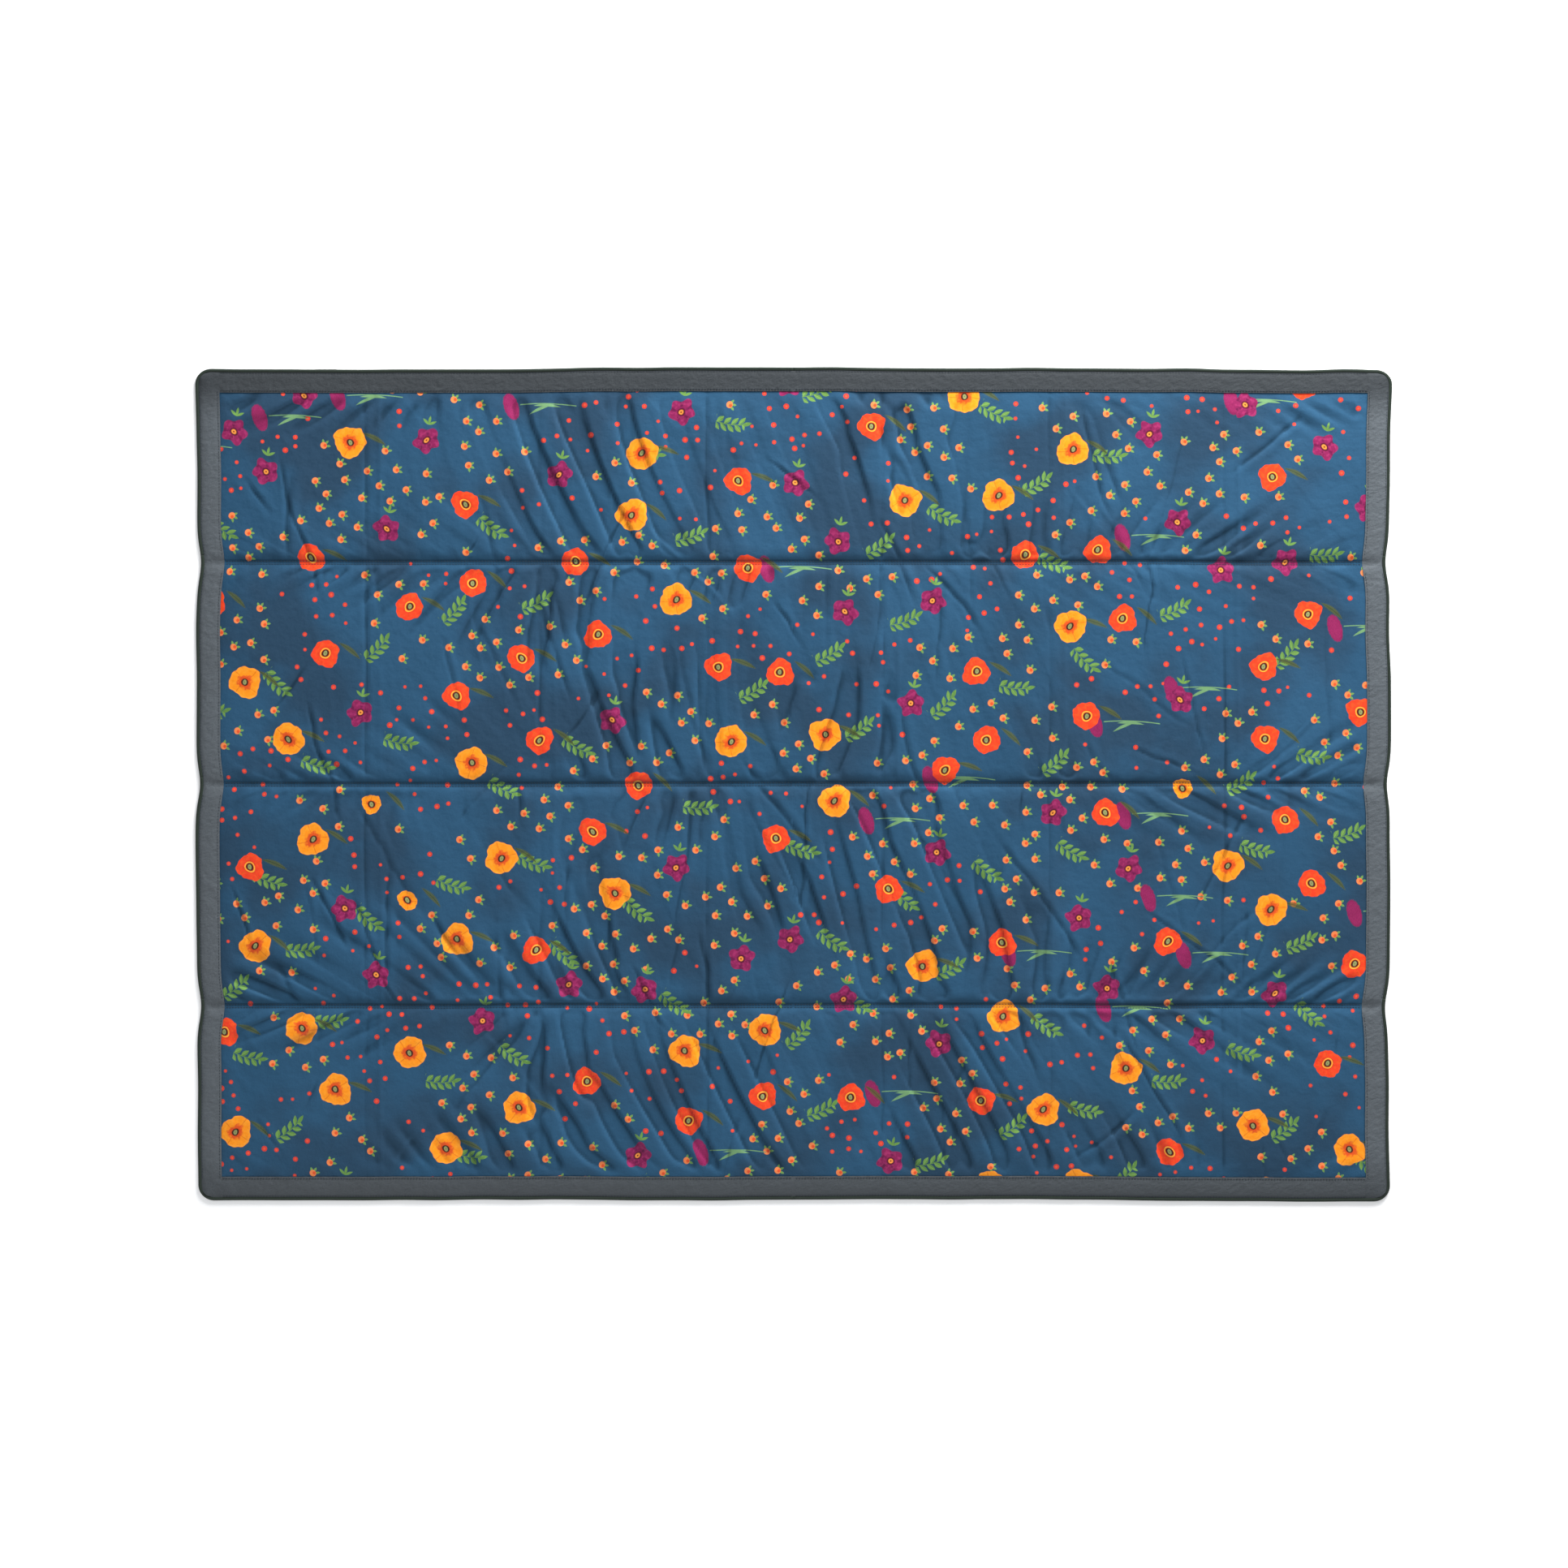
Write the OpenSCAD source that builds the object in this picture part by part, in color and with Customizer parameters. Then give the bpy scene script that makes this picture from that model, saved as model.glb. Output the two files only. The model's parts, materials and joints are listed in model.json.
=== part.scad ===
// Padded outdoor blanket, lying open.
// Four padded strips run along its length. They are sewn together at three seams, so each seam folds
// like a hinge. A grey facing frames the printed top cover, piping closes the outer edge, and a
// waterproof backing lies underneath, with a carry handle and two closure straps sewn to it.
// The strips are cut across the middle, where the folded band folds in half.
// The origin is the blanket's centre at ground level: +X runs along the seams, +Y towards the back.

/* [Blanket] */
// Length along the seams
blanket_l = 2134; // [1600:2:2600]
// Width across the strips
blanket_w = 1490; // [1400:2:1900]
// Width of the front and back strips, whose outer edge is the border
outer_strip_w = 350; // [300:1:420]
// Top of the padding above the ground
crown_z = 11; // [9:0.5:16]
// Distance over which the padding rises from its edge to its full height
shoulder_w = 60; // [30:1:90]

/* [Border] */
// Width of the grey facing between the piping and the print
facing_w = 37.5; // [30:0.5:60]
// Thickness of the facing with the folded fabric under it
facing_t = 2.8; // [1.5:0.1:4]
// Diameter of the piping cord
piping_d = 5; // [4:0.5:6]
// Outer radius of the four corners
corner_r = 29; // [20:1:32]

/* [Fabric] */
// Thickness of the printed cover and of the backing
fabric_t = 0.8; // [0.5:0.1:1]
// Half width of the flat channel that is stitched down at each seam
channel_w = 5; // [4:0.5:8]
// Diameter of a line of stitching
thread_d = 0.8; // [0.5:0.1:1]

/* [Webbing] */
// Thickness of the webbing
web_t = 1.4; // [1:0.1:1.4]
// Width of the carry handle's webbing
handle_web_w = 26; // [20:1:35]
// Outer width of the handle loop
handle_loop_w = 150; // [120:2:156]
// Distance that the handle loop reaches from its hinge line
handle_reach = 95; // [80:1:130]
// Width of a closure strap
strap_w = 38; // [25:1:50]
// Length of a closure strap
strap_l = 200; // [150:5:260]
// Distance of each closure strap from the middle of the handle
strap_offset = 300; // [200:5:350]

/* [Hidden] */
$fn = 48;
SIDES = ["left", "right"];
PANELS = [for (side = SIDES) for (n = [1:4]) str(n, "_", side)];

print_blue = [0.20, 0.37, 0.47];
wadding_white = [0.92, 0.92, 0.90];
backing_grey = [0.30, 0.31, 0.33];
facing_grey = [0.33, 0.35, 0.36];
piping_grey = [0.22, 0.27, 0.24];
thread_grey = [0.16, 0.20, 0.24];
webbing_grey = [0.17, 0.18, 0.19];
patch_grey = [0.10, 0.10, 0.11];

// Layers, from the ground up, with a small gap between neighbours
gap = 0.1;
cut = 1;                                    // gap between two panels
backing_z = 2.6;                            // underside of the backing: the webbing lies below it
layer_z = backing_z + fabric_t + gap;       // underside of the cover, the batting and the facing
web_z = backing_z - gap - web_t;            // underside of the webbing
patch_t = 0.9;                              // thickness of a hook or loop patch

// Plan. LINES holds the front edge, the three seams and the back edge.
half_l = blanket_l / 2;
inner_seam_y = blanket_w / 2 - outer_strip_w;
LINES = [-blanket_w / 2, -inner_seam_y, 0, inner_seam_y, blanket_w / 2];
edge_rim = piping_d + gap;                  // from the blanket's edge to the facing
border_w = edge_rim + facing_w + gap;       // from the blanket's edge to the print

// Webbing under the left half of the back strip
hinge_y = LINES[4] - 20;                    // line about which the handle and straps swing
handle_x = -half_l / 2;
strap_xs = [handle_x + strap_offset, handle_x - strap_offset];
patch_l = 60;

// Front and back limit of strip n, rim in from the blanket's edge or half a cut in from a seam
function front_y(n, rim) = LINES[n - 1] + (n == 1 ? rim : cut / 2);
function back_y(n, rim) = LINES[n] - (n == 4 ? rim : cut / 2);

// Height of the padding, from 0 to 1, at distance d from its edge: a flat channel, then a shoulder
shoulder_steps = 7;
shoulder_power = 2.5;
function rise(d) =
    1 - pow(1 - min(max(d - channel_w, 0) / shoulder_w, 1), shoulder_power);

// Distances from the edge at which a section has its points, from first inwards
function section_steps(first) = concat(
    [first],
    [for (i = [0:shoulder_steps])
        let (d = channel_w + i * shoulder_w / shoulder_steps) if (d > first) d]
);

// Points of the rising surface in from an edge at x = edge; dir is 1 towards +x and -1 towards -x
function shoulder_points(edge, dir, first, z_low, z_high) =
    [for (d = section_steps(first)) [edge + dir * d, z_low + (z_high - z_low) * rise(d)]];

function reversed(points) = [for (i = [len(points) - 1:-1:0]) points[i]];

// Section across a strip between a and b: the padding falls at both ends
module strip_section(a, b, first, z_base, z_low, z_high) {
    polygon(concat(
        [[a + first, z_base]],
        shoulder_points(a, 1, first, z_low, z_high),
        reversed(shoulder_points(b, -1, first, z_low, z_high)),
        [[b - first, z_base]]
    ));
}

// Section along a strip's right half: it falls at its outer end b and is cut straight at a
module half_section(a, b, first, z_base, z_low, z_high) {
    polygon(concat(
        [[a, z_base], [a, z_high]],
        reversed(shoulder_points(b, -1, first, z_low, z_high)),
        [[b - first, z_base]]
    ));
}

// Padding of strip n's right half, from x0 outwards: the two sections meet in a hipped pillow.
// The solid starts first in from the cover's edge and stands on z_base.
module pillow(n, x0, first, z_base, z_low, z_high) {
    y0 = front_y(n, border_w);
    y1 = back_y(n, border_w);
    intersection() {
        rotate([90, 0, 90])
            linear_extrude(half_l)
                strip_section(y0, y1, first, z_base, z_low, z_high);
        translate([0, y1, 0])
            rotate([90, 0, 0])
                linear_extrude(y1 - y0)
                    half_section(x0, half_l - border_w, first, z_base, z_low, z_high);
    }
}

// Plan of strip n's right half from x0 outwards, rim in from the edge, with its outer corner rounded
module panel_outline(n, rim, x0) {
    r = corner_r - rim;
    x1 = half_l - rim;
    y0 = front_y(n, rim);
    y1 = back_y(n, rim);
    front_r = n == 1 ? r : 0;
    back_r = n == 4 ? r : 0;
    translate([x0, y0 + front_r]) square([x1 - x0, y1 - y0 - front_r - back_r]);
    if (n == 1) translate([0, y0 + r]) mirror([0, 1]) rounded_end(x0, x1, r);
    if (n == 4) translate([0, y1 - r]) rounded_end(x0, x1, r);
}

// Band from x0 to x1, r high, whose last corner is a quarter circle
module rounded_end(x0, x1, r) {
    translate([x0, 0]) square([x1 - r - x0, r]);
    translate([x1 - r, 0])
        intersection() {
            circle(r);
            square(r);
        }
}

// Draws its children for the right half, or their mirror image for the left half
module on_side(side) {
    mirror([side == "left" ? 1 : 0, 0, 0]) children();
}

module top_cover(n) {
    color(print_blue)
        difference() {
            pillow(n, cut / 2, 0, layer_z, layer_z + fabric_t, crown_z);
            pillow(n, 0, channel_w + 1, layer_z - 1, layer_z, crown_z - fabric_t);
        }
}

module batting(n) {
    color(wadding_white)
        pillow(n, cut / 2, channel_w + 4, layer_z, layer_z - gap, crown_z - fabric_t - gap);
}

module backing(n) {
    color(backing_grey)
        translate([0, 0, backing_z])
            linear_extrude(fabric_t)
                panel_outline(n, edge_rim, cut / 2);
}

// The side facing runs across the whole blanket, so it also fills the corners
module side_facing(n) {
    color(facing_grey)
        translate([0, 0, layer_z])
            linear_extrude(facing_t)
                panel_outline(n, edge_rim, half_l - edge_rim - facing_w);
}

// The front facing butts against the side facings; the back facing is its mirror image
module front_facing() {
    color(facing_grey)
        translate([cut / 2, LINES[0] + edge_rim, layer_z])
            cube([half_l - border_w - cut / 2, facing_w, facing_t]);
}

// Piping cord: straight down the side and, on the outer strips, round the corner to the middle
module edge_piping(n) {
    r = piping_d / 2;
    y0 = n == 1 ? LINES[0] + corner_r : front_y(n, 0);
    y1 = n == 4 ? LINES[4] - corner_r : back_y(n, 0);
    color(piping_grey) {
        translate([half_l - r, y1, r]) rotate([90, 0, 0]) cylinder(r = r, h = y1 - y0);
        if (n == 1) front_piping(r);
        if (n == 4) mirror([0, 1, 0]) front_piping(r);
    }
}

module front_piping(r) {
    translate([half_l - corner_r, LINES[0] + corner_r, r])
        rotate(-90)
            rotate_extrude(angle = 90)
                translate([corner_r - r, 0]) circle(r);
    translate([cut / 2, LINES[0] + r, r])
        rotate([0, 90, 0]) cylinder(r = r, h = half_l - corner_r - cut / 2);
}

// Lines of stitching: one along each seam of the strip, and one along each edge of the facing
module stitching(n) {
    inset = 3;                              // from the seam, and from each edge of the facing
    lift = thread_d / 2 + gap / 5;          // centre of a line above the fabric it lies on
    seam_z = layer_z + fabric_t + lift;
    facing_z = layer_z + facing_t + lift;
    facing_rows = [edge_rim + inset, edge_rim + facing_w - inset];
    y0 = front_y(n, border_w) + gap;
    y1 = back_y(n, border_w) - gap;
    color(thread_grey) {
        if (n > 1) stitch_row(LINES[n - 1] + inset, seam_z);
        if (n < 4) stitch_row(LINES[n] - inset, seam_z);
        for (rim = facing_rows) {
            translate([half_l - rim, y1, facing_z])
                rotate([90, 0, 0]) cylinder(d = thread_d, h = y1 - y0);
            if (n == 1) stitch_row(LINES[0] + rim, facing_z);
            if (n == 4) stitch_row(LINES[4] - rim, facing_z);
        }
    }
}

// Line of stitching from the middle of the blanket to the side facing
module stitch_row(y, z) {
    translate([cut / 2, y, z])
        rotate([0, 90, 0]) cylinder(d = thread_d, h = half_l - border_w - cut);
}

// Flat loop of webbing: two short legs joined by half a ring
module carry_handle() {
    r_out = handle_loop_w / 2;
    r_in = r_out - handle_web_w;
    leg_l = handle_reach - r_out;
    color(webbing_grey)
        translate([handle_x, hinge_y - leg_l, web_z])
            linear_extrude(web_t) {
                difference() {
                    circle(r_out);
                    circle(r_in);
                    translate([-r_out, 0]) square([2 * r_out, r_out]);
                }
                for (x = [-r_out, r_in]) translate([x, 0]) square([handle_web_w, leg_l]);
            }
}

// Tabs that are sewn to the backing and hold the handle's two ends and the two straps
module webbing_anchors() {
    y0 = hinge_y + 4 * gap;
    tab_l = LINES[4] - edge_rim - 3 * gap - y0;
    end_x = handle_loop_w / 2 - handle_web_w;
    color(webbing_grey)
        translate([0, y0, web_z]) {
            for (x = [handle_x - end_x - handle_web_w, handle_x + end_x])
                translate([x, 0, 0]) cube([handle_web_w, tab_l, web_t]);
            for (x = strap_xs)
                translate([x - strap_w / 2, 0, 0]) cube([strap_w, tab_l, web_t]);
        }
}

module closure_strap(x) {
    color(webbing_grey)
        translate([x - strap_w / 2, hinge_y - strap_l, web_z]) cube([strap_w, strap_l, web_t]);
}

// The hook patch is on the strap's free end, on the face that ends up against the folded bundle
module hook_patch(x) {
    margin = 3;
    color(patch_grey)
        translate([x - strap_w / 2 + margin, hinge_y - strap_l + margin, web_z - gap / 2 - patch_t])
            cube([strap_w - 2 * margin, patch_l, patch_t]);
}

// The loop patches are sewn under the right half, where the straps close round the folded bundle
module loop_patches() {
    color(patch_grey)
        for (x = strap_xs)
            translate([-x - strap_w / 2, hinge_y - patch_l, backing_z - gap - patch_t])
                cube([strap_w, patch_l, patch_t]);
}

for (side = SIDES) {
    for (n = [1:4]) {
        p = str(n, "_", side);
        on_side(side) top_cover(n);
        on_side(side) batting(n);
        on_side(side) backing(n);
        on_side(side) side_facing(n);
        on_side(side) edge_piping(n);
        on_side(side) stitching(n);
    }
    on_side(side) front_facing();
    on_side(side) mirror([0, 1, 0]) front_facing();
}
carry_handle();
webbing_anchors();
closure_strap(strap_xs[0]);  // closure_strap_inner
closure_strap(strap_xs[1]);  // closure_strap_outer
hook_patch(strap_xs[0]);  // hook_patch_inner
hook_patch(strap_xs[1]);  // hook_patch_outer
loop_patches();
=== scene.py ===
"""Looks of the padded outdoor blanket: printed cover, facing, piping, backing, stitching and webbing.

Every length is in metres. A point of the cloth is known by its place on the flat sheet, (x, y), and
warp() says where that place lies in the open blanket.
"""
import json
import math

import bpy
import numpy as np
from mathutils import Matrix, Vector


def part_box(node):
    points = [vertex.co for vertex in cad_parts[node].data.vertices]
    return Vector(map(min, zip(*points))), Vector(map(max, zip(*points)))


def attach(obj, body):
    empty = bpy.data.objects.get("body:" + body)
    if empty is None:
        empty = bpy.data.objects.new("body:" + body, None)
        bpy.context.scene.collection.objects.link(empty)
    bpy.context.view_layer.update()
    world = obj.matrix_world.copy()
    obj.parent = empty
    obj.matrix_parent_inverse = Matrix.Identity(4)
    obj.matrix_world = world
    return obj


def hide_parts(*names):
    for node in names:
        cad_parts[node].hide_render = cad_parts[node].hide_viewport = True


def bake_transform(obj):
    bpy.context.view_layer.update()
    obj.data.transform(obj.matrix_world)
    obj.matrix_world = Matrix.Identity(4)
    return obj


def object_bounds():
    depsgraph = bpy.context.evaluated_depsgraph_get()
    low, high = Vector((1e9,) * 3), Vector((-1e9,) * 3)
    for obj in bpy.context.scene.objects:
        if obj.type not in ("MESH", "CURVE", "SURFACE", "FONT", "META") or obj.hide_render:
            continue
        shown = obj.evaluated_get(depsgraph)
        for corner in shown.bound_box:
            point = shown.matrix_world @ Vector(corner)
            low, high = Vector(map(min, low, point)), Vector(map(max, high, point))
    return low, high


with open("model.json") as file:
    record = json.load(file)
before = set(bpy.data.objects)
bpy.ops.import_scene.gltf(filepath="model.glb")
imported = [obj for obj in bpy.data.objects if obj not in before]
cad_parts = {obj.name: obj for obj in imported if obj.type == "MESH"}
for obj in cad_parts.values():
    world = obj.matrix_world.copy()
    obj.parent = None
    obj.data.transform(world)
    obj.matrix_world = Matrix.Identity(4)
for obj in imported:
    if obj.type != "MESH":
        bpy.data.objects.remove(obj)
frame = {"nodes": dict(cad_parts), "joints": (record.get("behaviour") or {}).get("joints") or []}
cad_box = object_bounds()

MM = 0.001
SIDES = ("left", "right")
STRIPS = (1, 2, 3, 4)

# ---------------------------------------------------------------- sizes, from the frame
HALF_L, HALF_W, CROWN_Z = cad_box[1]
SEAMS = [
    (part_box(f"backing_{n}_left")[1].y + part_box(f"backing_{n + 1}_left")[0].y) / 2 for n in STRIPS[:-1]
]
PRINT_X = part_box("top_cover_1_right")[1].x
PRINT_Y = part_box("top_cover_4_right")[1].y
BACKING_LOW, BACKING_TOP = (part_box("backing_1_left")[i].z for i in (0, 1))
PIPING_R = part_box("edge_piping_2_left")[1].z / 2
CORNER_R = 29 * MM
CORD_W = 6.4 * MM  # width of the piping as it shows, flattened a little
CROSS_Z = next(j["pos_m"][2] for j in frame["joints"] if j["name"] == "cross_fold")

CHANNEL_W = 3.0 * MM  # half width of the stitched channel at a seam
SHOULDER_W = 28 * MM  # width of the rise from the channel to the crown
EDGE_SHOULDER_W = 55 * MM  # the same at the print's edge
SEAM_Z = BACKING_TOP + 0.7 * MM
PAD_Z = CROWN_Z - 2.2 * MM  # mean top of the padding; wrinkles stand above and below it
TOP_LIMIT = CROWN_Z + 0.4 * MM
LOW_LIMIT = BACKING_TOP + 1.3 * MM
BLEND_W = 13 * MM  # half width of the cloth that bends at a seam
FABRIC_T = 0.6 * MM
BORDER_LEVEL = 0.30  # height of the padding at the print's edge, as a share of the crown's

OWN_FOLDS = 0.6  # strength of the folds made by formula, beside the simulated ones
CREASES = 125  # long thin creases in the cover
FLAPS = 7  # panels that the blanket was folded into for storage
SIM_PITCH = 7 * MM  # grid of the simulated cloth
SIM_FRAMES = 20
FOLD_CAP = 3.4 * MM  # how far a simulated fold may move the cloth
ROUND_TOP = 2.2 * MM  # crests flatten above this height, and valleys become narrow


# ---------------------------------------------------------------- smooth noise
def smoothstep(low, high, value):
    t = np.clip((value - low) / (high - low), 0, 1)
    return t * t * (3 - 2 * t)


def noise(u, v, seed):
    """Smooth noise from -1 to 1 with one feature per unit, the same on every run."""
    table = np.random.default_rng(seed).uniform(-1, 1, (128, 128))
    iu, iv = np.floor(u).astype(int), np.floor(v).astype(int)
    fu, fv = u - iu, v - iv
    fu, fv = fu * fu * (3 - 2 * fu), fv * fv * (3 - 2 * fv)
    a = table[iu % 128, iv % 128]
    b = table[(iu + 1) % 128, iv % 128]
    c = table[iu % 128, (iv + 1) % 128]
    d = table[(iu + 1) % 128, (iv + 1) % 128]
    return (a * (1 - fu) + b * fu) * (1 - fv) + (c * (1 - fu) + d * fu) * fv


def ridges(u, v, seed):
    """Noise drawn as rounded ridges with narrow valleys between them, from 0 to 1."""
    return 1 - np.sqrt(np.abs(noise(u, v, seed)))


def steps(start, stop, pitch):
    return np.linspace(start, stop, max(2, int(round((stop - start) / pitch)) + 1))


# ---------------------------------------------------------------- the cloth's shape
def seam_distance(y):
    return np.min([np.abs(y - s) for s in SEAMS], axis=0)


def rise(distance, channel, shoulder):
    t = np.clip((distance - channel) / shoulder, 0, 1)
    return 1 - (1 - t) ** 2.3


def warp(x, y):
    """Where a place of the flat sheet lies in plan: seams pull the ends in and the edges wave a little."""
    out = np.abs(x) / HALF_L
    up = np.abs(y) / HALF_W
    side = np.where(x < 0, 1.0, 2.0)
    pull = 7 * MM * np.exp(-((seam_distance(y) / (38 * MM)) ** 2))
    wave_x = 5.0 * MM * noise(y / 0.33 + 5.3 * side, side * 3.7, 11)
    wave_x = wave_x + 1.5 * MM * noise(y / 0.09, side * 9.1, 12)
    end = out**4
    dx = -np.sign(x) * end * (pull + 4.5 * MM + wave_x)
    row = np.where(y < 0, 1.0, 2.0)
    wave_y = 3.5 * MM * noise(x / 0.24 + 2.1 * row, row * 5.5, 13)
    wave_y = wave_y + 1.2 * MM * noise(x / 0.07, row * 7.3, 14)
    dy = -np.sign(y) * up**6 * (3.5 * MM + wave_y)
    near_seam = np.exp(-((seam_distance(y) / 0.06) ** 2))
    seam_wave = 1.3 * MM * noise(x / 0.21, np.round(y / 0.39) * 3.3 + 0.5, 15) * near_seam
    return x + dx, y + dy + seam_wave * (1 - up**6)


def creases(x, y):
    """Long thin creases, most of them near upright: a narrow valley with a soft ridge along one side."""
    draw = np.random.default_rng(77)
    total = np.zeros_like(x)
    for i in range(CREASES):
        x0, y0 = draw.uniform(-PRINT_X, PRINT_X), draw.uniform(-PRINT_Y, PRINT_Y)
        tilt = math.radians(-90 + draw.normal(6, 24))
        length, width = draw.uniform(0.09, 0.30), draw.uniform(2.6, 5.0) * MM
        depth = draw.uniform(0.7, 2.3) * MM * draw.choice((1, 1, 1, -0.5))
        along = (x - x0) * math.cos(tilt) + (y - y0) * math.sin(tilt)
        across = (y - y0) * math.cos(tilt) - (x - x0) * math.sin(tilt)
        near = (np.abs(across) < 0.05) & (along > 0) & (along < length)
        if not near.any():
            continue
        t, a = across[near], along[near]
        own = np.full_like(a, i + 0.5)
        t = t + 10 * MM * noise(a / 0.09, own, 21) + 3 * MM * noise(a / 0.03, own, 22)
        fade = smoothstep(0, 0.05, a) * smoothstep(0, 0.07, length - a)
        valley = np.exp(-((t / width) ** 2))
        ridge = np.exp(-(((t - 2.4 * width) / (1.7 * width)) ** 2))
        total[near] += depth * fade * (0.6 * ridge - valley)
    return total


def storage_creases(x, y):
    """Upright creases left by the folded bundle, one at every flap."""
    flap = 2 * HALF_L / FLAPS
    total = np.zeros_like(x)
    for k in range(-(FLAPS // 2), FLAPS // 2 + 1):
        for j, offset in enumerate((0.0, 0.027)):
            line = k * flap + (k % 2) * 0.02 * flap - flap / 2 + offset
            bend = line + 4 * MM * noise(y / 0.11, np.full_like(y, k * 2.7 + j), 31)
            strength = 0.55 + 0.45 * noise(y / 0.17, np.full_like(y, k * 1.9 + j * 4.1), 32)
            shape = np.exp(-(((x - bend) / (3.8 * MM)) ** 2))
            total += (1.4 * MM if j else -2.3 * MM) * strength * shape
    return total


def wrinkles(x, y):
    """Height of the cover's wrinkles above the padding."""
    d = seam_distance(y)
    strip = np.digitize(y, SEAMS) * 7.7
    nearest = np.array(SEAMS)[np.argmin([np.abs(y - s) for s in SEAMS], axis=0)]
    row = strip + np.where(y < nearest, 3.3, 8.8)  # another pattern on each side of a seam
    pucker = noise(x / (17 * MM), d / (90 * MM) + row, 41) * np.exp(-d / (32 * MM))
    pucker += 0.6 * noise(x / (8 * MM), d / (60 * MM) + row, 42) * np.exp(-d / (15 * MM))
    sway = noise(x / 0.25, y / 0.25, 43)

    def folds(tilt_deg, width, length, bend, level, seed):
        c, s = math.cos(math.radians(tilt_deg)), math.sin(math.radians(tilt_deg))
        across, along = y * c - x * s, x * c + y * s
        return ridges(across / width + bend * sway, along / length + strip, seed) - level

    slanting = folds(-50, 52 * MM, 0.30, 1.2, 0.35, 44)
    slanting = slanting * smoothstep(-0.25, 0.55, noise(x / 0.21 + 4.4, y / 0.17, 45))
    upright = folds(-78, 34 * MM, 0.22, 0.8, 0.4, 46)
    upright = upright * smoothstep(-0.1, 0.6, noise(x / 0.16 + 1.4, y / 0.14 + 9.0, 47))
    fine = noise(x / (11 * MM), y / (16 * MM), 48)
    total = 1.9 * MM * pucker + 2.3 * MM * slanting + 1.2 * MM * upright + 0.22 * MM * fine
    return OWN_FOLDS * total + creases(x, y) + storage_creases(x, y)


def padding(x, y):
    """Share of full loft: 0 in a seam, 1 on the crown, BORDER_LEVEL at the print's edge."""
    edge = np.minimum(PRINT_X - np.abs(x), PRINT_Y - np.abs(y))
    border = BORDER_LEVEL + (1 - BORDER_LEVEL) * rise(edge, 0, EDGE_SHOULDER_W)
    return rise(seam_distance(y), CHANNEL_W, SHOULDER_W) * border


def cover_height(x, y):
    pad = padding(x, y)
    edge = np.minimum(PRINT_X - np.abs(x), PRINT_Y - np.abs(y))
    free = rise(seam_distance(y), CHANNEL_W, 14 * MM) * (0.35 + 0.65 * smoothstep(0, 0.03, edge))
    height = SEAM_Z + (PAD_Z - SEAM_Z) * pad + free * (wrinkles(x, y) + draped(x, y))
    return soft_limits(height, SEAM_Z + (LOW_LIMIT - SEAM_Z) * np.minimum(pad * 3, 1), TOP_LIMIT)


def soft_limits(value, low, high):
    """Presses value between low and high, rounding it as it comes near either."""
    soft_high, soft_low = 1.2 * MM, 0.35 * MM
    value = high - soft_high * np.log1p(np.exp((high - value) / soft_high))
    return low + soft_low * np.log1p(np.exp((value - low) / soft_low))


def facing_height(x, y):
    """Top of the facing, from the piping in to where it overlaps the print."""
    rim = np.minimum(HALF_L - np.abs(x), HALF_W - np.abs(y))
    across = np.clip((rim - CORD_W) / (HALF_L - PRINT_X - CORD_W), 0, 1.2)
    pad = rise(seam_distance(y), CHANNEL_W, 20 * MM)
    upright = HALF_L - np.abs(x) < HALF_W - np.abs(y)
    along = np.where(upright, y, x) + 16 * MM * across
    ripple = noise(along / (21 * MM), across * 0.8, 51) + 0.55 * noise(along / (8 * MM), across * 1.5, 52)
    gather = noise(along / (7 * MM), across * 0.7 + 3.3, 53) * np.exp(-seam_distance(y) / (16 * MM)) * upright
    middle = np.sin(np.clip(across, 0, 1) * math.pi)
    crown = 0.30 + 0.70 * np.sin(np.clip(across, 0, 1) * math.pi * 0.66)
    waves = 0.75 * MM * ripple * (0.4 + 0.6 * noise(along / 0.09, across * 0.3, 54)) + 0.8 * MM * gather
    tuck = 1.8 * MM * np.exp(-np.maximum(rim - CORD_W, 0) / (2.5 * MM))
    return SEAM_Z + 0.5 * MM + 3.3 * MM * pad * crown + waves * middle - tuck


def backing_height(x, y):
    """Underside of the backing: it lies on the ground, with shallow wrinkles that rise from it."""
    d = seam_distance(y)
    lift = ridges(x / 0.13, y / 0.07, 61) + 0.5 * noise(x / (21 * MM), d / 0.05, 62) * np.exp(-d / (30 * MM))
    return BACKING_LOW + 0.55 * MM * np.clip(lift, 0, 1)


# ---------------------------------------------------------------- folds, by cloth simulation
def slack(gx, gy, low, high, strip):
    """How far each point of a strip's cloth lies from its place before the seams draw the cloth in."""
    depth = np.minimum(gy - low, high - gy)
    patch = 1 + 1.1 * noise(gx / 0.30 + 7.1 * strip, gy / 0.26, 91)
    stretch = 0.018 * patch + 0.035 * np.exp(-depth / (30 * MM))
    ux = np.cumsum(stretch * np.gradient(gx, axis=1), axis=1)
    skew = 0.02 + 0.075 * noise(gx / 0.45 + 3.3 * strip, np.full_like(gx, 1.7 * strip), 92)
    ux = ux - ux.mean(axis=1, keepdims=True) + skew * (gy - (low + high) / 2)
    uy = np.cumsum(0.008 * patch * np.gradient(gy, axis=0), axis=0)
    return ux, uy


def grid_quads(rows, cols):
    index = np.arange(rows * cols).reshape(rows, cols)
    return np.stack([index[:-1, :-1], index[:-1, 1:], index[1:, 1:], index[1:, :-1]], axis=-1).reshape(-1, 4)


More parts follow.
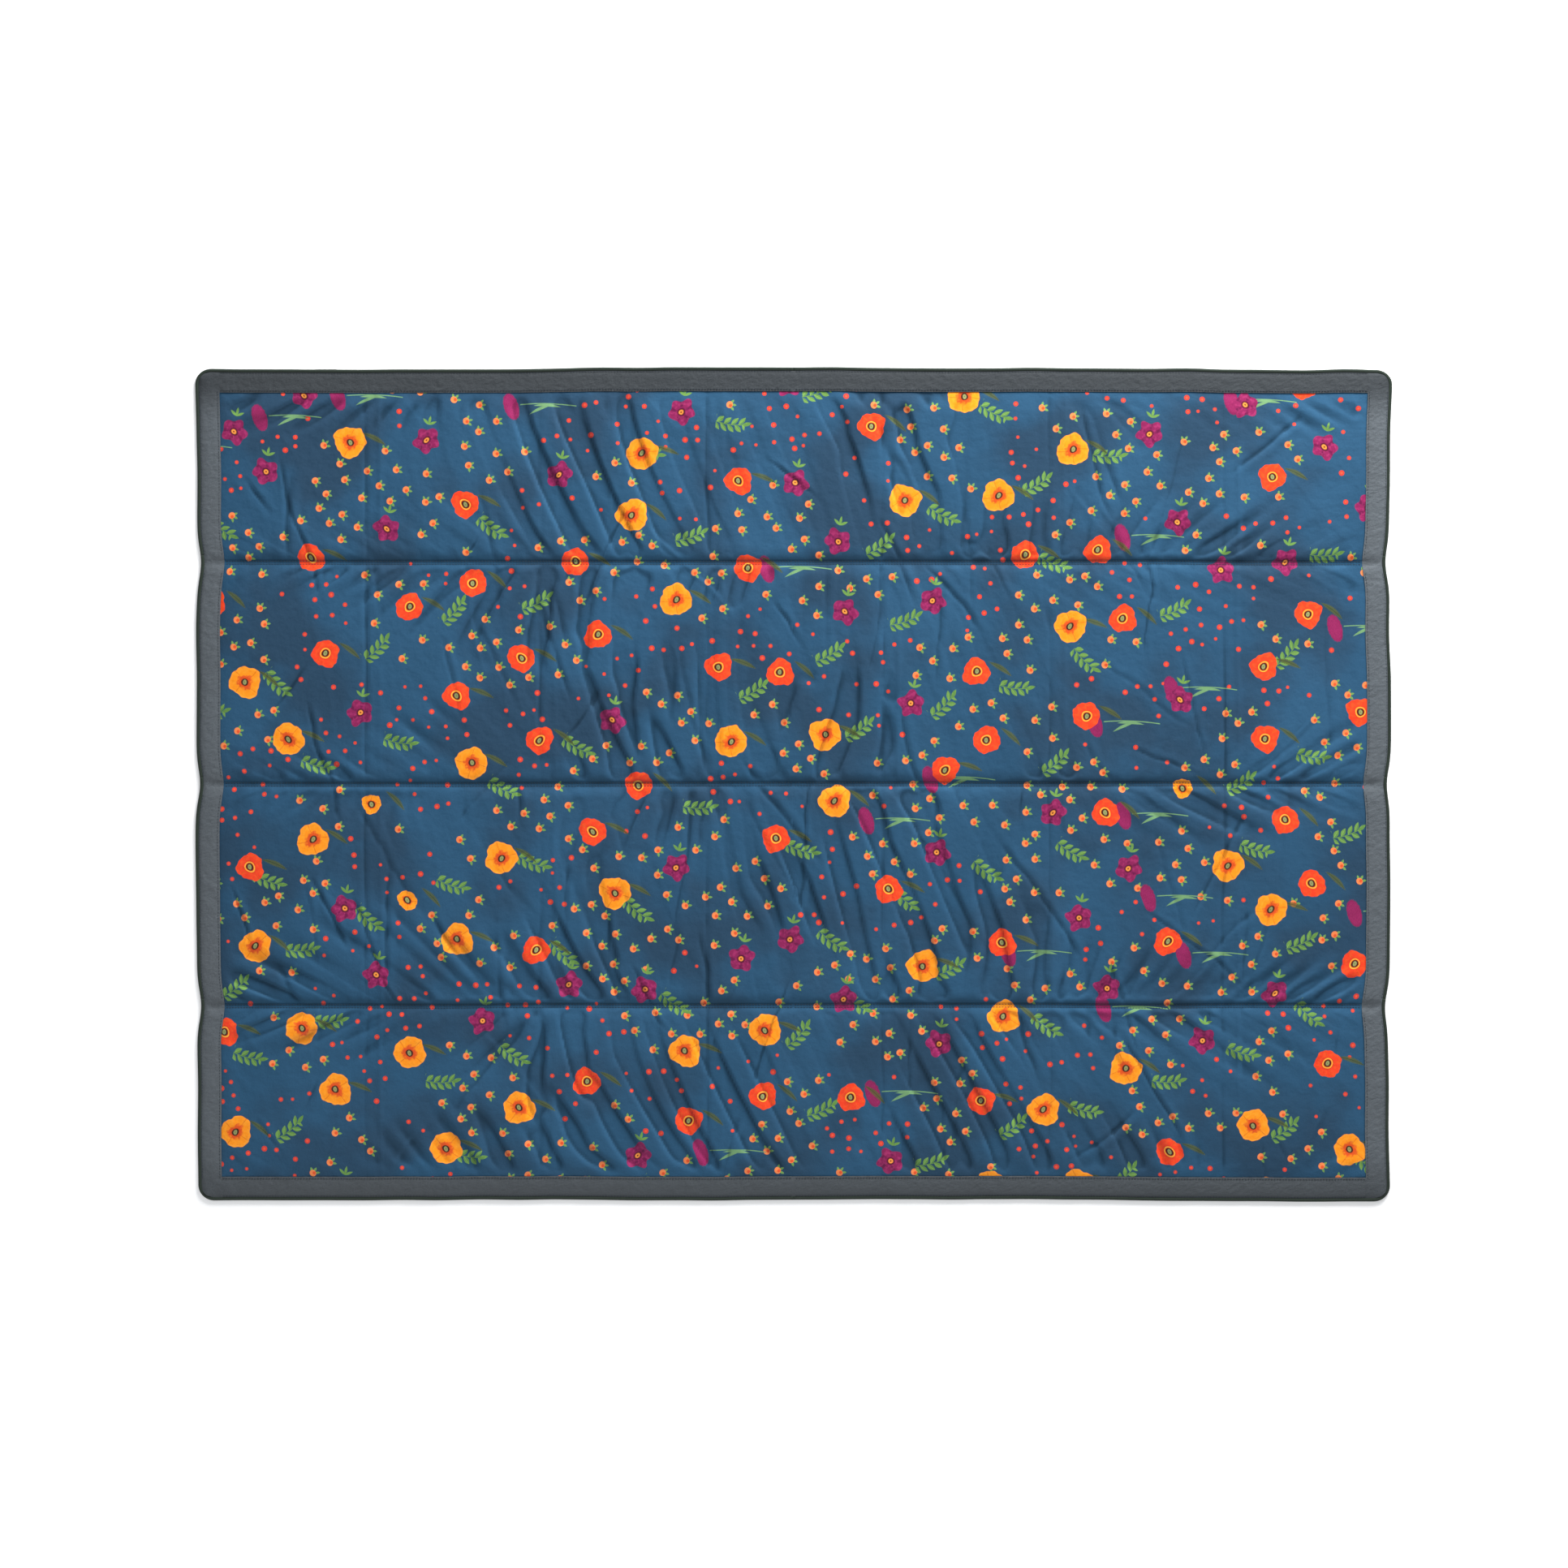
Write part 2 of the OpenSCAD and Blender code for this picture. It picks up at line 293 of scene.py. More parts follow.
def simulate_strip(strip):
    """Draws the slack cloth of one strip in to its sewn edges and returns its grid and the folds' height."""
    low = -PRINT_Y if strip == 1 else SEAMS[strip - 2]
    high = PRINT_Y if strip == 4 else SEAMS[strip - 1]
    x, y = steps(-PRINT_X, PRINT_X, SIM_PITCH), steps(low, high, SIM_PITCH)
    gx, gy = np.meshgrid(x, y)
    base = SEAM_Z + (PAD_Z - SEAM_Z) * padding(gx, gy)
    edge = np.minimum(PRINT_X - np.abs(gx), np.minimum(gy - low, high - gy))
    bumps = 0.25 * MM * noise(gx / 0.02, gy / 0.02, 5) + 0.6 * MM * noise(gx / 0.05, gy / 0.05 + strip, 6)
    bumps = bumps * smoothstep(0, 20 * MM, edge)
    placed = np.stack([gx, gy, base + bumps], axis=-1).reshape(-1, 3)
    ux, uy = slack(gx, gy, low, high, strip)
    loose = placed + np.stack([ux, uy, np.zeros_like(ux)], axis=-1).reshape(-1, 3)

    index = np.arange(gx.size).reshape(gx.shape)
    mesh = bpy.data.meshes.new("slack_cloth")
    mesh.from_pydata(loose.tolist(), [], grid_quads(*gx.shape).tolist())
    cloth = bpy.data.objects.new("slack_cloth", mesh)
    scene = bpy.context.scene
    scene.collection.objects.link(cloth)
    cloth.shape_key_add(name="loose")
    sewn = cloth.shape_key_add(name="sewn")
    sewn.data.foreach_set("co", placed.ravel())
    sewn.value = 0
    sewn.keyframe_insert("value", frame=1)
    sewn.value = 1
    sewn.keyframe_insert("value", frame=SIM_FRAMES // 2)
    held = cloth.vertex_groups.new(name="held")  # the rim is sewn down, the rest is loose
    held.add(index[1:-1, 1:-1].ravel().tolist(), 0.05, "REPLACE")
    rim = np.concatenate([index[0], index[-1], index[:, 0], index[:, -1]])
    held.add(rim.tolist(), 1.0, "REPLACE")

    solver = cloth.modifiers.new("cloth", "CLOTH")
    fabric = solver.settings
    fabric.quality = 3
    fabric.mass = 0.02
    fabric.air_damping = 2
    fabric.tension_stiffness = fabric.compression_stiffness = 15
    fabric.shear_stiffness = 5
    fabric.bending_stiffness = 1.0
    fabric.vertex_group_mass = held.name
    fabric.effector_weights.gravity = 0
    solver.collision_settings.use_collision = False
    solver.point_cache.frame_end = SIM_FRAMES
    for step in range(1, SIM_FRAMES + 1):
        scene.frame_set(step)
    result = cloth.evaluated_get(bpy.context.evaluated_depsgraph_get()).to_mesh()
    settled = np.empty(gx.size * 3, np.float32)
    result.vertices.foreach_get("co", settled)
    scene.frame_set(1)
    bpy.data.objects.remove(cloth)
    folds = blurred(settled.reshape(*gx.shape, 3)[..., 2] - base, 1.6)  # takes out ripple as fine as the grid
    return x, y, 2.1 * (folds - blurred(folds, 7))  # and broad waves, which the padding gives


def blurred(values, cells):
    """A Gaussian blur that repeats the rim outward."""
    half = math.ceil(3 * cells)
    reach = np.arange(-half, half + 1)
    weights = np.exp(-((reach / cells) ** 2))
    weights /= weights.sum()
    for axis in (0, 1):
        pad = [(0, 0), (0, 0)]
        pad[axis] = (half, half)
        wide = np.pad(values, pad, mode="edge")
        count = values.shape[axis]
        values = sum(w * np.take(wide, range(k, k + count), axis=axis) for k, w in enumerate(weights))
    return values


def cubic_weights(t):
    """Weights of the four grid values round a point that lies at share t between the middle two."""
    return (
        ((-0.5 * t + 1) * t - 0.5) * t,
        (1.5 * t - 2.5) * t * t + 1,
        ((-1.5 * t + 2) * t + 0.5) * t,
        (0.5 * t - 0.5) * t * t,
    )


def draped(x, y):
    """Height of the simulated folds at places of the cloth, by cubic interpolation."""
    total = np.zeros(np.broadcast(x, y).shape)
    for sx, sy, folds in FOLDS:
        px, py = (x - sx[0]) / (sx[1] - sx[0]), (y - sy[0]) / (sy[1] - sy[0])
        in_strip = (px >= 0) & (px <= len(sx) - 1) & (py >= 0) & (py <= len(sy) - 1)
        ix = np.clip(np.floor(px).astype(int), 0, len(sx) - 2)
        iy = np.clip(np.floor(py).astype(int), 0, len(sy) - 2)
        value = 0
        for i, wy in enumerate(cubic_weights(np.clip(py - iy, 0, 1)), -1):
            row = np.clip(iy + i, 0, len(sy) - 1)
            for j, wx in enumerate(cubic_weights(np.clip(px - ix, 0, 1)), -1):
                value = value + wx * wy * folds[row, np.clip(ix + j, 0, len(sx) - 1)]
        total = np.where(in_strip, value, total)
    shaped = ROUND_TOP * (1 - np.exp(-np.clip(total, -3 * MM, 6 * MM) / ROUND_TOP))
    strip = np.digitize(y, SEAMS) + 1
    calm = 0.18 + 0.92 * smoothstep(-0.25, 0.45, noise(x / 0.19 + 5.5 * strip, y / 0.16 + 2.2, 94))
    return calm * FOLD_CAP * np.tanh(shaped / FOLD_CAP)


FOLDS = [simulate_strip(strip) for strip in STRIPS]


# ---------------------------------------------------------------- sheets cut from the cloth
def seam_steps(start, stop, fine, coarse):
    """Places along y, finer near the seams and always on the limits of each bend."""
    marks = sorted({start, stop} | {s + k * w for s in SEAMS for k in (-1, 1) for w in (BLEND_W, 45 * MM)})
    marks = [m for m in marks if start <= m <= stop]
    rows = [np.array([start])]
    for a, b in zip(marks, marks[1:]):
        near = seam_distance(np.array((a + b) / 2)) < 45 * MM
        rows.append(steps(a, b, fine if near else coarse)[1:])
    return np.concatenate(rows)


def grid_normals(points):
    du = np.gradient(points, axis=1)
    dv = np.gradient(points, axis=0)
    n = np.cross(du, dv)
    return n / np.linalg.norm(n, axis=2, keepdims=True)


def sheet(name, points, normals, flat, material, thickness=FABRIC_T):
    """A closed thin sheet with its face on the grid of points; flat comes from on_cloth."""
    rows, cols = points.shape[:2]
    top = points.reshape(-1, 3)
    low = (points - normals * thickness).reshape(-1, 3)
    count = rows * cols
    index = np.arange(count).reshape(rows, cols)
    quads = grid_quads(rows, cols)
    loop = np.concatenate([index[0, :], index[1:, -1], index[-1, -2::-1], index[-2:0:-1, 0]])
    after = np.roll(loop, -1)
    rim = np.stack([loop, loop + count, after + count, after], axis=-1)
    faces = np.concatenate([quads, quads[:, ::-1] + count, rim])
    mesh = bpy.data.meshes.new(name)
    mesh.from_pydata(np.concatenate([top, low]).tolist(), [], faces.tolist())
    mesh.polygons.foreach_set("use_smooth", np.ones(len(faces), bool))
    layer = mesh.uv_layers.new(name="cloth")
    uv = np.concatenate([flat[..., :2].reshape(-1, 2)] * 2)[faces.ravel()]
    layer.data.foreach_set("uv", uv.astype(np.float32).ravel())
    hollow = mesh.attributes.new("hollow", "FLOAT", "POINT")
    hollow.data.foreach_set("value", np.tile(flat[..., 2].ravel(), 2).astype(np.float32))
    outward = normals.reshape(-1, 3)
    mesh.normals_split_custom_set_from_vertices(np.concatenate([outward, -outward]).tolist())
    return add_piece(mesh, material)


def add_piece(mesh, material):
    """Shows a mesh as a piece of the same name."""
    piece = bpy.data.objects.new(mesh.name, mesh)
    bpy.context.scene.collection.objects.link(piece)
    mesh.materials.append(material)
    return piece


def stand_in(piece, node, strip, side, bends=False):
    """Shows the piece in place of a CAD node. It moves with its strip, except a piece marked as bending short
    of the last strip, which gets its transform baked in and is attached to no strip."""
    if node:
        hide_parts(node)
    body = f"strip_{strip}_{side}"
    if bends and strip < STRIPS[-1]:
        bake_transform(piece)
    else:
        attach(piece, body)


def strip_rows(y, strip):
    """A sheet's rows that belong to a strip: from past the seam in front to past the seam behind."""
    low = -1.0 if strip == 1 else SEAMS[strip - 2] + BLEND_W
    high = 1.0 if strip == 4 else SEAMS[strip - 1] + BLEND_W
    chosen = np.nonzero((y > low - 1e-6) & (y < high + 1e-6))[0]
    return slice(chosen[0], chosen[-1] + 1)


def add_nose(points, normals, flat, at_start):
    """Continues a sheet past the middle, round the cross fold's axis and hidden in the other half."""
    edge = 0 if at_start else -1
    turn = -1 if at_start else 1
    p, n, f = points[:, edge], normals[:, edge], flat[:, edge]
    radius = p[:, 2] - CROSS_Z
    reach = np.arccos(np.clip((BACKING_TOP + 0.5 * MM - CROSS_Z) / radius, -1, 1))
    new_p, new_n, new_f = [], [], []
    for share in np.linspace(0, 1, 8)[1:]:
        a = reach * share
        q = p.copy()
        q[:, 0] = turn * radius * np.sin(a)
        q[:, 2] = CROSS_Z + radius * np.cos(a)
        m = n.copy()
        m[:, 0], m[:, 2] = turn * np.sin(a), np.cos(a)
        m[:, 1] = 0
        g = f.copy()
        g[:, 0] = f[:, 0] + turn * radius * a
        new_p.append(q), new_n.append(m), new_f.append(g)
    stack = [np.stack(block, axis=1) for block in (new_p, new_n, new_f)]
    if at_start:
        return [np.concatenate([b[:, ::-1], a], axis=1) for a, b in zip((points, normals, flat), stack)]
    return [np.concatenate([a, b], axis=1) for a, b in zip((points, normals, flat), stack)]


def lay_out(x, y, height):
    """Points of a sheet over the grid x by y; height is a function of the place on the cloth."""
    gx, gy = np.meshgrid(x, y)
    wx, wy = warp(gx, gy)
    points = np.stack([wx, wy, height(gx, gy)], axis=-1)
    return points, on_cloth(gx, gy, points)


def on_cloth(gx, gy, points):
    """Each point's place on the cloth, and how deep it lies in a hollow between folds."""
    height = points[..., 2]
    return np.stack([gx, gy, blurred(height, 3) - height], axis=-1)


def build_cover(material):
    inner_x, inner_y = PRINT_X + 1.5 * MM, PRINT_Y + 1.5 * MM  # the cloth runs in under the facing
    half = steps(0, inner_x, 3.6 * MM)
    x = np.concatenate([-half[::-1], half[1:]])
    y = seam_steps(-inner_y, inner_y, 2.4 * MM, 3.8 * MM)
    points, flat = lay_out(x, y, cover_height)
    normals = grid_normals(points)
    middle = len(x) // 2
    for side in SIDES:
        columns = slice(0, middle + 1) if side == "left" else slice(middle, None)
        for strip in STRIPS:
            rows = strip_rows(y, strip)
            half_strip = [block[rows, columns] for block in (points, normals, flat)]
            blocks = add_nose(*half_strip, at_start=side == "right")
            piece = sheet(f"printed_cover_{strip}_{side}", *blocks, material)
            stand_in(piece, f"top_cover_{strip}_{side}", strip, side, bends=True)


def build_backing(material):
    """The backing is cut to the blanket's outline, so its rows shorten into the rounded corners."""
    inset = PIPING_R
    y = seam_steps(-HALF_W + inset, HALF_W - inset, 4 * MM, 9 * MM)
    y = np.unique(np.concatenate([y, [s * (HALF_W - inset - CORNER_R * (1 - math.sin(a)))
                                      for s in (-1, 1) for a in np.linspace(0, math.pi / 2, 9)]]).round(6))
    share = np.concatenate([steps(-1, 0, 9 * MM / HALF_L), steps(0, 1, 9 * MM / HALF_L)[1:]])
    depth = np.clip(np.abs(y) - (HALF_W - CORNER_R), 0, CORNER_R - inset)
    r = CORNER_R - inset
    width = HALF_L - CORNER_R + np.sqrt(np.maximum(r * r - depth * depth, 0))
    gx = share[None, :] * width[:, None]
    gy = np.repeat(y[:, None], len(share), axis=1)
    wx, wy = warp(gx, gy)
    low = np.stack([wx, wy, backing_height(gx, gy)], axis=-1)
    flat = on_cloth(gx, gy, -low)
    normals = -grid_normals(low)
    middle = len(share) // 2
    for side in SIDES:
        columns = slice(0, middle + 1) if side == "left" else slice(middle, None)
        for strip in STRIPS:
            rows = strip_rows(y, strip)
            blocks = [block[rows, columns][:, ::-1] for block in (low, normals, flat)]
            piece = sheet(f"backing_sheet_{strip}_{side}", *blocks, material)
            stand_in(piece, f"backing_{strip}_{side}", strip, side, bends=True)


def build_batting(material):
    """A closed pad inside each panel, kept below the cover's deepest wrinkle."""
    for side in SIDES:
        for strip in STRIPS:
            low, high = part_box(f"batting_{strip}_{side}")
            inset = 9 * MM
            left, right = (0, inset) if side == "right" else (inset, 0)
            x = steps(low.x + left, high.x - right, 14 * MM)
            y = steps(low.y + inset, high.y - inset, 12 * MM)
            gx, gy = np.meshgrid(x, y)
            wx, wy = warp(gx, gy)
            around = [cover_height(gx + i * 7 * MM, gy + j * 6 * MM) for i in (-1, 0, 1) for j in (-1, 0, 1)]
            top = np.maximum(np.min(around, axis=0) - 1.6 * MM, BACKING_TOP + 0.4 * MM)
            points = np.stack([wx, wy, top], axis=-1)
            piece = sheet(f"wadding_{strip}_{side}", points, grid_normals(points), on_cloth(gx, gy, points),
                          material, 0.4 * MM)
            stand_in(piece, f"batting_{strip}_{side}", strip, side)


def build_facings(material):
    overlap = 1.0 * MM
    outer = CORD_W - 1.0 * MM
    wide_x = np.linspace(PRINT_X - overlap, HALF_L - outer, 12)
    y = seam_steps(-HALF_W + outer, HALF_W - outer, 2.4 * MM, 4 * MM)
    for side in SIDES:
        sign = -1 if side == "left" else 1
        gx, gy = np.meshgrid(wide_x, y)
        corner = np.clip(np.abs(gy) - (HALF_W - CORNER_R), 0, CORNER_R - outer)
        r = CORNER_R - outer
        limit = HALF_L - CORNER_R + np.sqrt(np.maximum(r * r - corner * corner, 0))
        start = wide_x[0]
        gx = start + (gx - start) / (wide_x[-1] - start) * (limit - start)
        gx = sign * gx
        if sign < 0:
            gx, gy = gx[:, ::-1], gy[:, ::-1]
        wx, wy = warp(gx, gy)
        points = np.stack([wx, wy, facing_height(gx, gy)], axis=-1)
        normals = grid_normals(points)
        flat = on_cloth(gx, gy, points)
        for strip in STRIPS:
            rows = strip_rows(y, strip)
            piece = sheet(f"side_band_{strip}_{side}", points[rows], normals[rows], flat[rows], material)
            stand_in(piece, f"side_facing_{strip}_{side}", strip, side, bends=True)
    end_x = PRINT_X + 1.0 * MM
    for row, strip in (("front", 1), ("back", 4)):
        sign = -1 if row == "front" else 1
        band = np.linspace(PRINT_Y - overlap, HALF_W - outer, 12)
        band = band if sign > 0 else -band[::-1]
        for side in SIDES:
            x = steps(0, end_x, 4 * MM) if side == "right" else steps(-end_x, 0, 4 * MM)
            points, flat = lay_out(x, band, facing_height)
            points[..., 2] -= 0.35 * MM  # the side facings lie over its ends
            piece = sheet(f"{row}_band_{side}", points, grid_normals(points), flat, material)
            stand_in(piece, f"{row}_facing_{side}", strip, side)


def outline_path(strip, side):
    """Centre line of the piping along one strip, from its front end to its back end."""
    sign = -1 if side == "left" else 1
    inset = CORD_W / 2
    low = -HALF_W + CORNER_R if strip == 1 else SEAMS[strip - 2] + BLEND_W
    high = HALF_W - CORNER_R if strip == 4 else SEAMS[strip - 1] + BLEND_W
    path = [(HALF_L - inset, y) for y in seam_steps(low, high, 2.6 * MM, 5 * MM)]
    cx, cy, r = HALF_L - CORNER_R, HALF_W - CORNER_R, CORNER_R - inset
    bend = [(cx + r * math.cos(a), cy + r * math.sin(a)) for a in np.linspace(0, math.pi / 2, 14)[1:]]
    run = [(x, HALF_W - inset) for x in steps(0, HALF_L - CORNER_R, 5 * MM)[::-1][1:]]
    if strip == 4:
        path = path + bend + run
    if strip == 1:
        path = [(x, -y) for x, y in (bend + run)[::-1]] + path
    return np.array([(sign * x, y) for x, y in path])


def wall_quads(rings, sides):
    """The side faces of a tube whose points go round ring by ring."""
    i, k = np.meshgrid(np.arange(rings - 1), np.arange(sides), indexing="ij")
    m = (k + 1) % sides
    corners = [i * sides + k, i * sides + m, (i + 1) * sides + m, (i + 1) * sides + k]
    return np.stack(corners, axis=-1).reshape(-1, 4)


def tube(name, centres, across, up, sides):
    """A closed tube along centres; across and up are its half axes at each point."""
    turns = np.linspace(0, 2 * math.pi, sides, endpoint=False)
    verts = np.stack([centres + across * math.cos(a) + up * math.sin(a) for a in turns], axis=1)
    verts = verts.reshape(-1, 3)
    faces = wall_quads(len(centres), sides).tolist()
    faces.append(range(sides)[::-1])
    faces.append(range(len(verts) - sides, len(verts)))
    mesh = bpy.data.meshes.new(name)
    mesh.from_pydata(verts.tolist(), [], faces)
    mesh.polygons.foreach_set("use_smooth", [True] * (len(faces) - 2) + [False] * 2)
    return mesh


def build_piping(material):
    for side in SIDES:
        for strip in STRIPS:
            path = outline_path(strip, side)
            wx, wy = warp(path[:, 0], path[:, 1])
            along = np.gradient(np.stack([wx, wy], axis=-1), axis=0)
            along /= np.linalg.norm(along, axis=1, keepdims=True)
            lift = 0.5 * MM * noise(path[:, 0] / 0.06 + 3, path[:, 1] / 0.06, 81)
            centres = np.stack([wx, wy, PIPING_R + np.abs(lift)], axis=-1)
            across = np.stack([along[:, 1], -along[:, 0], np.zeros(len(path))], axis=-1) * (CORD_W / 2)
            up = np.tile([0, 0, PIPING_R * 0.97], (len(path), 1))
            mesh = tube(f"edge_cord_{strip}_{side}", centres, across, up, 12)
            piece = add_piece(mesh, material)
            stand_in(piece, f"edge_piping_{strip}_{side}", strip, side, bends=True)


# ---------------------------------------------------------------- stitching
def stitch_mesh(name, places, turns, length, radius, heights):
    """One mesh of short rounded stitches; places are their middles on the sheet, turns their directions."""
    rings, sides = 5, 6
    x, y = (np.array(places)[:, k, None] for k in (0, 1))
    c, s = np.cos(turns)[:, None], np.sin(turns)[:, None]
    t = np.linspace(-1, 1, rings)[None, :]
    px, py = x + c * t * length / 2, y + s * t * length / 2
    wx, wy = warp(px, py)
    z = heights(px, py) + radius * (0.75 - 1.1 * t * t)
    r = radius * np.sqrt(np.maximum(0.12, 1 - 0.75 * t * t))
    a = np.linspace(0, 2 * math.pi, sides, endpoint=False)[None, None, :]
    ring_x = wx[..., None] - s[..., None] * r[..., None] * np.cos(a)
    ring_y = wy[..., None] + c[..., None] * r[..., None] * np.cos(a)
    ring_z = z[..., None] + r[..., None] * np.sin(a)
    verts = np.stack([ring_x, ring_y, ring_z], axis=-1).reshape(-1, 3)
    starts = np.arange(len(places)) * rings * sides
    walls = (wall_quads(rings, sides)[None] + starts[:, None, None]).reshape(-1, 4).tolist()
    ends = (np.arange(sides)[None, ::-1] + starts[:, None]).tolist()
    ends += (np.arange(sides)[None] + (rings - 1) * sides + starts[:, None]).tolist()
    mesh = bpy.data.meshes.new(name)
    mesh.from_pydata(verts.tolist(), [], walls + ends)
    mesh.polygons.foreach_set("use_smooth", [True] * (len(walls) + len(ends)))
    return mesh


def build_stitching(material):
    """Seam rows lie on both sides of each seam, with their transform baked in; facing rows lie along both
    edges of the facing.
    """
    pitch, length, radius = 5.2 * MM, 3.9 * MM, 0.42 * MM
    row_gap = 2.6 * MM
    border = HALF_L - PRINT_X
    for side in SIDES:
        sign = -1 if side == "left" else 1
        for strip in STRIPS:
            low = -PRINT_Y if strip == 1 else SEAMS[strip - 2] + BLEND_W + 3 * MM
            high = PRINT_Y if strip == 4 else SEAMS[strip - 1] - BLEND_W - 3 * MM
            places, turns = [], []
            for rim in (CORD_W + 1.4 * MM, border - 2.4 * MM):
                for y in np.arange(low, high, pitch):
                    places.append((sign * (HALF_L - rim), y))
                    turns.append(math.pi / 2)
                if strip in (1, 4):
                    row = -1 if strip == 1 else 1
                    for x in np.arange(6 * MM, PRINT_X - 3 * MM, pitch):
                        places.append((sign * x, row * (HALF_W - rim)))
                        turns.append(0.0)
            mesh = stitch_mesh(f"facing_stitches_{strip}_{side}", places, turns, length, radius,
                               facing_height)
            stand_in(add_piece(mesh, material), f"stitching_{strip}_{side}", strip, side)
        for strip in STRIPS[:-1]:
            seam = SEAMS[strip - 1]
            xs = np.arange(4 * MM, PRINT_X - 2 * MM, pitch)
            places = [(sign * x, seam + row * row_gap) for row in (-1, 1) for x in xs]
            mesh = stitch_mesh(f"seam_stitches_{strip}_{side}", places, [0.0] * len(places), length, radius,
                               cover_height)
            stand_in(add_piece(mesh, material), None, strip, side, bends=True)


# ---------------------------------------------------------------- materials
class Value:
    """A number in a shader. Arithmetic on it adds the math nodes it needs."""

    def __init__(self, tree, socket):
        self.tree, self.socket = tree, socket

    def __add__(self, other):
        return math_node(self.tree, "ADD", self, other)

    def __sub__(self, other):
        return math_node(self.tree, "SUBTRACT", self, other)

    def __rsub__(self, other):
        return math_node(self.tree, "SUBTRACT", other, self)

    def __mul__(self, other):
        return math_node(self.tree, "MULTIPLY", self, other)

    def __truediv__(self, other):
        return math_node(self.tree, "DIVIDE", self, other)

    __radd__, __rmul__ = __add__, __mul__


def math_node(tree, operation, *inputs):
    node = tree.nodes.new("ShaderNodeMath")
    node.operation = operation
    for slot, item in zip(node.inputs, inputs):
        if isinstance(item, Value):
            tree.links.new(item.socket, slot)
        else:
            slot.default_value = item
    return Value(tree, node.outputs[0])


def math_function(operation):
    """A function that adds one math node for the Values it is given."""
    def add(*inputs):
        tree = next(item.tree for item in inputs if isinstance(item, Value))
        return math_node(tree, operation, *inputs)
    return add


floor, fract, size = (math_function(name) for name in ("FLOOR", "FRACT", "ABSOLUTE"))
sine, cosine, angle = (math_function(name) for name in ("SINE", "COSINE", "ARCTAN2"))
most, below = (math_function(name) for name in ("MAXIMUM", "LESS_THAN"))


def hypot(a, b):
    return math_node(a.tree, "SQRT", a * a + b * b)


def inside(distance, soft):
    """1 where distance is below zero and 0 where it is above, with an edge that is soft wide."""
    t = distance.tree
    node = t.nodes.new("ShaderNodeMapRange")
    node.interpolation_type = "SMOOTHSTEP"
    t.links.new(distance.socket, node.inputs["Value"])
    node.inputs["From Min"].default_value = -soft
    node.inputs["From Max"].default_value = soft
    node.inputs["To Min"].default_value = 1
    node.inputs["To Max"].default_value = 0
    return Value(t, node.outputs["Result"])


def turned(x, y, cos_a, sin_a):
    return x * cos_a + y * sin_a, y * cos_a - x * sin_a


def linear(rgb):
    """A colour given as sRGB 0 to 255, as the linear colour that shaders use."""
    return [(c / 255 / 12.92 if c <= 10 else ((c / 255 + 0.055) / 1.055) ** 2.4) for c in rgb] + [1]


